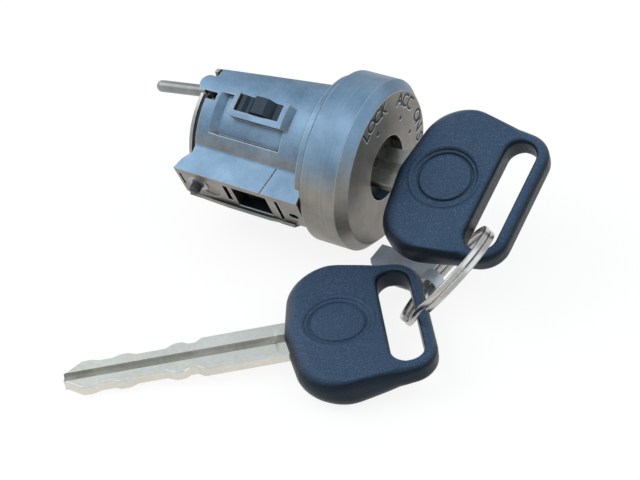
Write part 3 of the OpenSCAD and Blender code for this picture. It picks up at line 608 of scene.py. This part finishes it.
def on_face(points, radius, angle):
    """Flat shapes set on the lock's face: x runs clockwise round it, y outward, at an angle from the top."""
    right = np.array([0.0, math.cos(angle), -math.sin(angle)])
    out = np.array([0.0, math.sin(angle), math.cos(angle)])
    front = np.array([1.0, 0.0, 0.0])
    foot = np.array([HEAD_BACK_TO_FACE, 0.0, 0.0]) + radius * out
    return foot + points[:, :1] * right + points[:, 1:2] * out + points[:, 2:3] * front


def word_shapes(legends):
    """All letters as points and faces, each set round the face by its place in its word."""
    points, faces, count = [], [], 0
    for word, middle in POSITIONS:
        for k, letter in enumerate(word):
            spot, rings = letter_shape(letter, legends.letter_height, legends.letter_weight)
            angle = math.radians(middle) + (k - (len(word) - 1) / 2) * legends.letter_spacing
            points.append(on_face(spot, legends.letter_radius, angle))
            faces += [[i + count for i in ring] for ring in rings]
            count += len(spot)
    return np.concatenate(points), faces


def mark_shapes(legends):
    """The marks as points and faces: rings of (radius, height) round a middle, one mark to a word."""
    turn = np.linspace(0.0, FULL_TURN, DOT_POINTS, endpoint=False)
    radius, height = (DOT_RINGS * np.array([legends.dot_radius, RELIEF])).T[:, :, None]
    level = np.repeat(height, DOT_POINTS, axis=1)
    disc = np.stack([radius * np.cos(turn), radius * np.sin(turn), level], axis=-1).reshape(-1, 3)
    quads = grid_faces(len(DOT_RINGS), DOT_POINTS, False, True)
    points = [on_face(disc, legends.dot_circle, math.radians(angle)) for _, angle in POSITIONS]
    faces = np.concatenate([quads + k * len(disc) for k in range(len(POSITIONS))]).tolist()
    return np.concatenate(points), faces


class LOCK_OT_legends(bpy.types.Operator):
    """Sets the position words and their marks on the lock's face"""
    bl_idname = "lock.legends"
    bl_label = "Position words"

    def execute(self, context):
        legends = context.scene.lock_legends
        shapes = {"words": word_shapes(legends), "marks": mark_shapes(legends)}
        # The stamped layer is painted shade in the strokes, and the glint layer below it a painted highlight
        below = np.array([-GLINT_SINK, 0.0, -legends.glint_shift])
        layers = (("stamped", np.zeros(3), stamped_shade_finish()), ("glint", below, glint_finish()))
        for name, shift, look in layers:
            for kind, (points, faces) in shapes.items():
                piece = new_piece(f"{name}_{kind}", points + shift, faces, smooth=False)
                piece.data.materials.append(look)
                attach(piece, "case")
        return {"FINISHED"}


# Shader helpers


def put(tree, socket, value):
    """Links an output into a socket, or sets the socket to a number or a colour."""
    if isinstance(value, bpy.types.NodeSocket):
        tree.links.new(value, socket)
    elif socket.type == "RGBA" and len(value) == 3:
        socket.default_value = (*value, 1.0)
    else:
        socket.default_value = value


def add(tree, kind, **inputs):
    """A shader node with its named sockets set or linked."""
    made = tree.nodes.new(kind)
    for key, value in inputs.items():
        put(tree, made.inputs[key.replace("_", " ")], value)
    return made


def calculate(tree, operation, *values):
    """The result of a Math node on the given values."""
    made = tree.nodes.new("ShaderNodeMath")
    made.operation = operation
    for socket, value in zip(made.inputs, values):
        put(tree, socket, value)
    return made.outputs[0]


def axes(tree, vector):
    """The X, Y and Z outputs of a vector."""
    return add(tree, "ShaderNodeSeparateXYZ", Vector=vector).outputs


def remap(tree, value, low, high, start=0.0, end=1.0):
    """A value carried from start..end to low..high, and held there."""
    made = add(tree, "ShaderNodeMapRange", Value=value, From_Min=start, From_Max=end, To_Min=low,
               To_Max=high)
    return made.outputs["Result"]


def mix(tree, share, a, b):
    """Colour a where the share is 0 and b where it is 1."""
    made = tree.nodes.new("ShaderNodeMix")
    made.data_type = "RGBA"
    for index, value in ((0, share), (6, a), (7, b)):
        put(tree, made.inputs[index], value)
    return made.outputs[2]


def mix_value(tree, share, a, b):
    """Value a where the share is 0 and b where it is 1."""
    made = tree.nodes.new("ShaderNodeMix")
    for index, value in ((0, share), (2, a), (3, b)):
        put(tree, made.inputs[index], value)
    return made.outputs[0]


def noise(tree, where, scale, detail):
    """Noise of a scale in features per metre."""
    made = add(tree, "ShaderNodeTexNoise", Vector=where, Scale=scale, Detail=detail,
               Roughness=NOISE_ROUGHNESS)
    return made.outputs["Fac"]


# Finishes


# Near-black painted shade for corners and hollows
PAINTED_SHADE = (0.010, 0.010, 0.011)
SHADE_MOST = 0.96
# Blue tint of the gloss: a painted reflection colour that stands in for cool light from above
COOL_GLOSS = (0.47, 0.73, 1.0)

# Boxes filled with painted shade: a middle, half sizes and a turn about X
BORE_REAR, BORE_RADIUS, BORE_LIP = -29.0 * MM, 6.62 * MM, 0.35 * MM
BORE_HALF = (HEAD_BACK_TO_FACE - BORE_LIP - BORE_REAR) / 2
ROTOR_BORE = ((BORE_REAR + BORE_HALF, 0.0, 0.0), (BORE_HALF, BORE_RADIUS, BORE_RADIUS), 0.0)
RAIL_TURN = math.radians(111.7)
RAIL_POCKET = ((-11.9 * MM, -14.06 * MM, -2.6 * MM), (4.3 * MM, 3.47 * MM, 3.05 * MM), RAIL_TURN)

FINE_DETAIL, COARSE_DETAIL, NOISE_ROUGHNESS = 4.0, 3.0, 0.6
FINE_SHARE, BROAD_MIDDLE = 0.55, 0.225
NOISE_LOW, NOISE_HIGH = 0.3, 0.7
TONE_FROM, TONE_TO = 0.1, 0.75
FLECK_FROM, FLECK_TO, FLECK_MOST = 0.53, 0.64, 0.9
LATHE_SCALE, LATHE_STRETCH = 0.8, (1.0, 0.03, 0.03)
LATHE_RAMP, LATHE_MOST = 0.4 * MM, 0.65
EDGE_TONE_FROM, EDGE_TONE_TO, EDGE_TONE_MOST = 0.86, 0.985, 0.75
CORNER_FROM, CORNER_TO = 0.3, 0.72
HOLLOW_FROM, HOLLOW_MOST = 0.97, 0.95
EDGE_SAMPLES, CORNER_SAMPLES = 6, 8


def inside(tree, where, middle, half, turn):
    """The share of painted shade: most in a box of half sizes round a middle, turned about X; 0 outside."""
    own = add(tree, "ShaderNodeMapping", Vector=where, Location=middle, Rotation=(turn, 0.0, 0.0),
              Scale=half)
    own.vector_type = "TEXTURE"
    size = tree.nodes.new("ShaderNodeVectorMath")
    size.operation = "ABSOLUTE"
    put(tree, size.inputs[0], own.outputs["Vector"])
    x, y, z = axes(tree, size.outputs["Vector"])
    furthest = calculate(tree, "MAXIMUM", calculate(tree, "MAXIMUM", x, y), z)
    return remap(tree, furthest, HOLLOW_MOST, 0.0, HOLLOW_FROM, 1.0)


def turned_grain(tree, where, fine, grain, start):
    """The fine grain, drawn out round X as a lathe leaves it where X lies beyond a start."""
    spread = add(tree, "ShaderNodeMapping", Vector=where, Scale=LATHE_STRETCH)
    lathe = noise(tree, spread.outputs["Vector"], LATHE_SCALE * grain, COARSE_DETAIL)
    share = remap(tree, axes(tree, where)["X"], 0.0, LATHE_MOST, start, start + LATHE_RAMP)
    return mix_value(tree, share, fine, lathe)


def edge_tone_share(tree, rounded):
    """The share of the lighter edge tone: most where the rounded normal leaves the surface's own, as it does
    at an edge.
    """
    shape = tree.nodes.new("ShaderNodeNewGeometry")
    turn = tree.nodes.new("ShaderNodeVectorMath")
    turn.operation = "DOT_PRODUCT"
    put(tree, turn.inputs[0], rounded)
    put(tree, turn.inputs[1], shape.outputs["Normal"])
    return remap(tree, turn.outputs["Value"], EDGE_TONE_MOST, 0.0, EDGE_TONE_FROM, EDGE_TONE_TO)


def corner_shade_share(tree, reach):
    """The share of painted shade: most where the piece itself closes round a point within a reach."""
    corner = add(tree, "ShaderNodeAmbientOcclusion", Distance=reach)
    corner.only_local = True
    corner.samples = CORNER_SAMPLES
    return remap(tree, corner.outputs["AO"], SHADE_MOST, 0.0, CORNER_FROM, CORNER_TO)


def finish(name, dark, light, metallic, rough, grain=2600.0, bump=0.02, blotch=120.0, edge=0.0, edge_tone=None,
           drift=0.65, rough_spread=0.08, turned_from=None, sides=None, shade_reach=0.0, shaded_hollows=(), sheen=None,
           top_from=(0.2, 0.55), fleck=None):
    """A surface whose colour drifts between two tones on a coarse noise, and whose fine grain drives
    roughness and bump. Edges are rounded in the shading over the edge radius, and take the edge tone
    there. Beyond turned_from on X the grain is a lathe's. Where the sides have tones of their own, those of
    the top give way to them as the surface turns from it, over top_from of its upward share; this split by
    facing is painted light. Flecks lie in the lighter tone as painted glints. Painted shade darkens corners
    within its reach and fills the hollows, which are boxes. The sheen is the level and tint of the gloss,
    and its tint is a painted reflection colour."""
    made = bpy.data.materials.get(name)
    if made is not None:
        return made
    made = bpy.data.materials.new(name)
    made.use_nodes = True
    tree = made.node_tree
    shader = tree.nodes["Principled BSDF"]
    coordinates = tree.nodes.new("ShaderNodeTexCoord")
    where = coordinates.outputs["Object"]

    fine = noise(tree, where, grain, FINE_DETAIL)
    if turned_from is not None:
        fine = turned_grain(tree, where, fine, grain, turned_from)
    broad = remap(tree, noise(tree, where, blotch, COARSE_DETAIL), BROAD_MIDDLE - drift / 2,
                  BROAD_MIDDLE + drift / 2, NOISE_LOW, NOISE_HIGH)
    blend = calculate(tree, "MULTIPLY_ADD", fine, FINE_SHARE, broad)
    # Light flecks in the lighter tone are painted glints of the grain
    if fleck is not None:
        light = mix(tree, remap(tree, fine, 0.0, FLECK_MOST, FLECK_FROM, FLECK_TO), light, fleck)
    # Tones by which way the surface faces stand in for light from above and light reflected from below:
    # painted light
    if sides is not None:
        up = remap(tree, axes(tree, coordinates.outputs["Normal"])["Z"], 0.0, 1.0, *top_from)
        dark, light = mix(tree, up, sides[0], dark), mix(tree, up, sides[1], light)
    tone = mix(tree, remap(tree, blend, 0.0, 1.0, TONE_FROM, TONE_TO), dark, light)

    pits = add(tree, "ShaderNodeBump", Height=fine, Strength=1.0, Distance=bump * MM)
    if edge > 0.0:
        rounded = add(tree, "ShaderNodeBevel", Radius=edge)
        rounded.samples = EDGE_SAMPLES
        put(tree, pits.inputs["Normal"], rounded.outputs["Normal"])
        # A lighter tone along the edges, where the rounded normal turns away from the surface's own
        if edge_tone is not None:
            tone = mix(tree, edge_tone_share(tree, rounded.outputs["Normal"]), tone, edge_tone)
    # Painted shade: darker in corners within the reach, and in the boxed hollows
    if shade_reach > 0.0:
        tone = mix(tree, corner_shade_share(tree, shade_reach), tone, PAINTED_SHADE)
    for middle, half, turn in shaded_hollows:
        tone = mix(tree, inside(tree, where, middle, half, turn), tone, PAINTED_SHADE)

    put(tree, shader.inputs["Base Color"], tone)
    put(tree, shader.inputs["Roughness"],
        remap(tree, fine, rough - rough_spread, rough + rough_spread, NOISE_LOW, NOISE_HIGH))
    put(tree, shader.inputs["Normal"], pits.outputs["Normal"])
    shader.inputs["Metallic"].default_value = metallic
    # The tint of the gloss is a painted reflection colour
    if sheen is not None:
        level, tint = sheen
        shader.inputs["Specular IOR Level"].default_value = level
        shader.inputs["Specular Tint"].default_value = (*tint, 1.0)
    return made


def bow_finish():
    """Dark moulding. Its grain where it faces up is its own dark colour turned blue by painted light, its
    black sides painted shade, its light flecks painted glints and its blue gloss a painted reflection.
    """
    tones = bpy.context.scene.lock_finishes
    return finish("bow_grain", tones.bow_dark, tones.bow_light, 0.0, 0.34, grain=4200.0, bump=0.11,
                  blotch=90.0, drift=0.1, rough_spread=0.10, sheen=(0.3, COOL_GLOSS),
                  sides=((0.002, 0.003, 0.005), (0.006, 0.009, 0.015)), top_from=(0.5, 0.93),
                  fleck=(0.15, 0.21, 0.30))


def blade_finish():
    """Milled nickel silver with bright edges."""
    tones = bpy.context.scene.lock_finishes
    return finish("milled_nickel_silver", tones.blade_dark, tones.blade_light, 1.0, 0.34, grain=1400.0,
                  bump=0.006, blotch=60.0, drift=0.25, rough_spread=0.06, edge=0.12 * MM,
                  edge_tone=(0.92, 0.91, 0.86))


def groove_shade_finish():
    """Darker floor of the blade's groove: painted shade."""
    return finish("groove_painted_shade", (0.20, 0.19, 0.16), (0.38, 0.36, 0.31), 0.9, 0.45, grain=1400.0, bump=0.01)


def ring_finish():
    """Plated spring wire."""
    tones = bpy.context.scene.lock_finishes
    return finish("ring_plating", tones.ring_dark, tones.ring_light, 1.0, 0.24, grain=1500.0, bump=0.003,
                  blotch=160.0, drift=0.2, rough_spread=0.05)


def glint_finish():
    """Painted highlight along the lower edge of the stamped strokes."""
    return finish("stamped_glint", (0.70, 0.72, 0.72), (0.88, 0.89, 0.88), 0.1, 0.4, grain=3000.0, bump=0.01)


def stamped_shade_finish():
    """Dark floor of the stamped words and marks: painted shade in their strokes."""
    return finish("stamped_painted_shade", (0.02, 0.022, 0.025), (0.06, 0.06, 0.062), 0.3, 0.6, grain=4000.0,
                  bump=0.01)


def casting_finish():
    """Zinc die casting with a turned head. Its grain is cool where it faces up and warm on its sides, a
    painted reflection, and painted shade darkens its corners and fills its holes.
    """
    tones = bpy.context.scene.lock_finishes
    return finish("zinc_casting", tones.cast_dark, tones.cast_light, 0.75, 0.44, grain=2200.0, bump=0.03,
                  blotch=150.0, edge=0.35 * MM, edge_tone=(0.74, 0.77, 0.79), drift=0.3, rough_spread=0.1,
                  turned_from=0.3 * MM, sides=(tones.side_dark, tones.side_light), shade_reach=6.0 * MM,
                  shaded_hollows=(RAIL_POCKET, ROTOR_BORE))


def gasket_finish():
    """Matt black rubber."""
    return finish("gasket_rubber", (0.006, 0.006, 0.007), (0.02, 0.02, 0.022), 0.0, 0.6, grain=3000.0,
                  bump=0.03)


def plate_finish():
    """Dull plated sheet behind the gasket."""
    return finish("dull_plating", (0.30, 0.31, 0.31), (0.50, 0.50, 0.49), 0.85, 0.42, grain=1800.0,
                  bump=0.01, edge=0.15 * MM, edge_tone=(0.8, 0.8, 0.78))


def cover_finish():
    """Darker plated strip along the rail."""
    return finish("cover_plating", (0.16, 0.175, 0.17), (0.30, 0.31, 0.30), 0.8, 0.45, grain=1800.0,
                  bump=0.01, edge=0.15 * MM, edge_tone=(0.5, 0.52, 0.5))


def rod_finish():
    """Grey steel of the rod."""
    return finish("rod_steel", (0.20, 0.21, 0.21), (0.36, 0.37, 0.36), 0.85, 0.4, grain=1500.0, bump=0.008)


def drawn_finish():
    """Bright drawn steel of pins, rivets and springs."""
    return finish("drawn_steel", (0.45, 0.45, 0.45), (0.7, 0.7, 0.69), 1.0, 0.3, grain=1500.0, bump=0.006)


def plug_finish():
    """Staked plug round the stop pin."""
    return finish("staked_plug", (0.27, 0.29, 0.31), (0.42, 0.43, 0.44), 0.75, 0.45, grain=2200.0, bump=0.02,
                  edge=0.15 * MM, edge_tone=(0.8, 0.8, 0.8))


def oiled_finish():
    """Dark oiled steel."""
    return finish("oiled_steel", (0.015, 0.015, 0.017), (0.06, 0.06, 0.065), 0.6, 0.42, grain=1800.0,
                  bump=0.015, edge=0.2 * MM, edge_tone=(0.25, 0.25, 0.26))


def lever_finish():
    """Black moulding of the rocker, with lighter edges and a gloss tinted blue as a painted reflection."""
    return finish("lever_moulding", (0.008, 0.009, 0.012), (0.03, 0.032, 0.038), 0.0, 0.35, grain=2600.0,
                  bump=0.02, edge=0.25 * MM, edge_tone=(0.07, 0.085, 0.11), sheen=(0.4, COOL_GLOSS))


def recess_shade_finish():
    """Near-black rotor deep in the lock's bore: painted shade."""
    return finish("recess_painted_shade", (0.008, 0.008, 0.008), (0.03, 0.028, 0.025), 0.4, 0.55, grain=2000.0,
                  bump=0.02)


def brass_finish():
    """Stamped brass of the wafers."""
    return finish("wafer_brass", (0.5, 0.36, 0.14), (0.68, 0.52, 0.24), 1.0, 0.35, grain=1800.0, bump=0.008)


def tag_finish():
    """Thin blue-grey sheet of the tag."""
    tones = bpy.context.scene.lock_finishes
    return finish("tag_sheet", tones.tag_dark, tones.tag_light, 0.2, 0.36, grain=1400.0, bump=0.01,
                  blotch=220.0, edge=0.1 * MM, edge_tone=(0.8, 0.84, 0.9))


NODE_FINISHES = {
    "cylinder_case": casting_finish, "rear_gasket": gasket_finish, "rear_plate": plate_finish,
    "rail_cover": cover_finish, "cover_rivets": drawn_finish, "stop_pin_bush": plug_finish,
    "stop_pin": oiled_finish, "reminder_lever": lever_finish, "reminder_pin": drawn_finish,
    "interlock_rod": rod_finish, "interlock_lever": oiled_finish, "lever_pin": drawn_finish,
    "rotor": recess_shade_finish, "rotor_clip": oiled_finish, "wafer_springs": drawn_finish, "key_tag": tag_finish,
    **{f"wafer_{k}": brass_finish for k in range(1, 9)},
}


class LOCK_OT_finishes(bpy.types.Operator):
    """Gives every solid that stays in view its cast, plated or moulded finish"""
    bl_idname = "lock.finishes"
    bl_label = "Finishes"

    def execute(self, context):
        for node, look in NODE_FINISHES.items():
            solid = frame["nodes"][node]
            solid.data.materials.clear()
            solid.data.materials.append(look())
        return {"FINISHED"}


# Stage


TABLE_HALF = 4.0
GLOW_STRENGTH = 1.08
SKY_FROM, SKY_TO = 0.15, 0.9
LAMP_SIZE, LAMP_AIM = 0.5, (0.008, -0.02, -0.01)
KEY_SPOT, KEY_TINT = (-0.42, -0.16, 0.5), (1.0, 0.98, 0.95)
FILL_SPOT, FILL_TINT = (0.5, 0.1, 0.4), (0.94, 0.97, 1.0)
SENSOR_WIDTH, CLIP_NEAR, CLIP_FAR = 36.0, 0.01, 20.0


def lamp(name, watts, spot, tint):
    """A square soft box that looks at the lock."""
    light = bpy.data.lights.new(name, "AREA")
    light.energy = watts
    light.size = LAMP_SIZE
    light.color = tint
    holder = bpy.data.objects.new(name, light)
    bpy.context.scene.collection.objects.link(holder)
    holder.location = spot
    holder.rotation_euler = (Vector(LAMP_AIM) - Vector(spot)).to_track_quat("-Z", "Y").to_euler()


def seen_ray(tree):
    """1 on a ray that the camera, a reflection or clear matter sends, and 0 on the others."""
    path = tree.nodes.new("ShaderNodeLightPath").outputs
    seen = calculate(tree, "MAXIMUM", path["Is Camera Ray"], path["Is Glossy Ray"])
    return calculate(tree, "MAXIMUM", seen, path["Is Transmission Ray"])


def table_finish(stage):
    """Pale matt table, mixed with plain white on the rays that are seen."""
    made = bpy.data.materials.new("table_white")
    made.use_nodes = True
    tree = made.node_tree
    shader = tree.nodes["Principled BSDF"]
    shader.inputs["Base Color"].default_value = (*stage.table_colour, 1.0)
    shader.inputs["Roughness"].default_value = 0.9
    shader.inputs["Specular IOR Level"].default_value = 0.1
    glow = add(tree, "ShaderNodeEmission", Color=(1.0, 1.0, 1.0), Strength=GLOW_STRENGTH)
    both = tree.nodes.new("ShaderNodeMixShader")
    share = remap(tree, seen_ray(tree), 0.0, stage.table_glow)
    for socket, value in zip(both.inputs, (share, shader.outputs["BSDF"], glow.outputs["Emission"])):
        put(tree, socket, value)
    put(tree, tree.nodes["Material Output"].inputs["Surface"], both.outputs["Shader"])
    return made


def sky(stage):
    """Light all round, warm near the horizon and cool above, at full strength on the rays that are seen."""
    world = bpy.data.worlds.new("studio")
    world.use_nodes = True
    tree = world.node_tree
    tree.nodes.clear()
    way = tree.nodes.new("ShaderNodeTexCoord").outputs["Generated"]
    high = remap(tree, axes(tree, way)["Z"], 0.0, 1.0, SKY_FROM, SKY_TO)
    light = add(tree, "ShaderNodeBackground", Color=mix(tree, high, stage.low_sky, stage.high_sky),
                Strength=remap(tree, seen_ray(tree), stage.world_light, 1.0))
    add(tree, "ShaderNodeOutputWorld", Surface=light.outputs["Background"])
    return world


def camera_matrix(stage):
    """Columns right, up and back of a camera at an azimuth and elevation, rolled about its own axis."""
    a, e, r = stage.azimuth, stage.elevation, stage.roll
    back = Vector((math.sin(a) * math.cos(e), -math.cos(a) * math.cos(e), math.sin(e)))
    right = (-back).cross(Vector((0, 0, 1))).normalized()
    down = (-back).cross(right)
    right, down = math.cos(r) * right + math.sin(r) * down, -math.sin(r) * right + math.cos(r) * down
    turn = Matrix((right, -down, back)).transposed().to_4x4()
    return Matrix.Translation(stage.camera_place) @ turn


class LOCK_OT_stage(bpy.types.Operator):
    """Sets the table, the soft light and the camera"""
    bl_idname = "lock.stage"
    bl_label = "Stage"

    def execute(self, context):
        scene = context.scene
        stage = scene.lock_stage
        scene.view_settings.view_transform = "Standard"

        corners = np.array([[-1.0, -1.0, 0.0], [1.0, -1.0, 0.0], [1.0, 1.0, 0.0], [-1.0, 1.0, 0.0]])
        table = new_piece("table", corners * TABLE_HALF + np.array([0.0, 0.0, TABLE_Z]), [[0, 1, 2, 3]])
        table.data.materials.append(table_finish(stage))

        scene.world = sky(stage)
        lamp("key_lamp", stage.key_light, KEY_SPOT, KEY_TINT)
        lamp("fill_lamp", stage.fill_light, FILL_SPOT, FILL_TINT)

        view = bpy.data.cameras.new("photo_camera")
        view.sensor_width = SENSOR_WIDTH
        view.lens = stage.lens
        view.clip_start = CLIP_NEAR
        view.clip_end = CLIP_FAR
        camera = bpy.data.objects.new("photo_camera", view)
        scene.collection.objects.link(camera)
        camera.matrix_world = camera_matrix(stage)
        scene.camera = camera
        return {"FINISHED"}


# Panel and registration


class LOCK_PT_panel(bpy.types.Panel):
    """Lists the lock's pieces and settings"""
    bl_idname = "LOCK_PT_panel"
    bl_label = "Ignition lock"
    bl_space_type = "VIEW_3D"
    bl_region_type = "UI"
    bl_category = "Lock"

    def draw(self, context):
        for operator in OPERATORS:
            self.layout.operator(operator.bl_idname)
        for key, group in SETTINGS.items():
            box = self.layout.box()
            settings = getattr(context.scene, key)
            for name in group.__annotations__:
                box.prop(settings, name)


OPERATORS = (LOCK_OT_stage, LOCK_OT_finishes, LOCK_OT_bows, LOCK_OT_blades, LOCK_OT_ring, LOCK_OT_springs,
             LOCK_OT_legends)


def register():
    for group in (*SETTINGS.values(), *OPERATORS, LOCK_PT_panel):
        bpy.utils.register_class(group)
    for key, group in SETTINGS.items():
        setattr(bpy.types.Scene, key, bpy.props.PointerProperty(type=group))


def unregister():
    for key in SETTINGS:
        delattr(bpy.types.Scene, key)
    for group in (LOCK_PT_panel, *OPERATORS[::-1], *list(SETTINGS.values())[::-1]):
        bpy.utils.unregister_class(group)


def main():
    register()
    bpy.ops.lock.stage()
    bpy.ops.lock.finishes()
    bpy.ops.lock.bows()
    bpy.ops.lock.blades()
    bpy.ops.lock.ring()
    bpy.ops.lock.springs()
    bpy.ops.lock.legends()


if __name__ == "__main__":
    main()
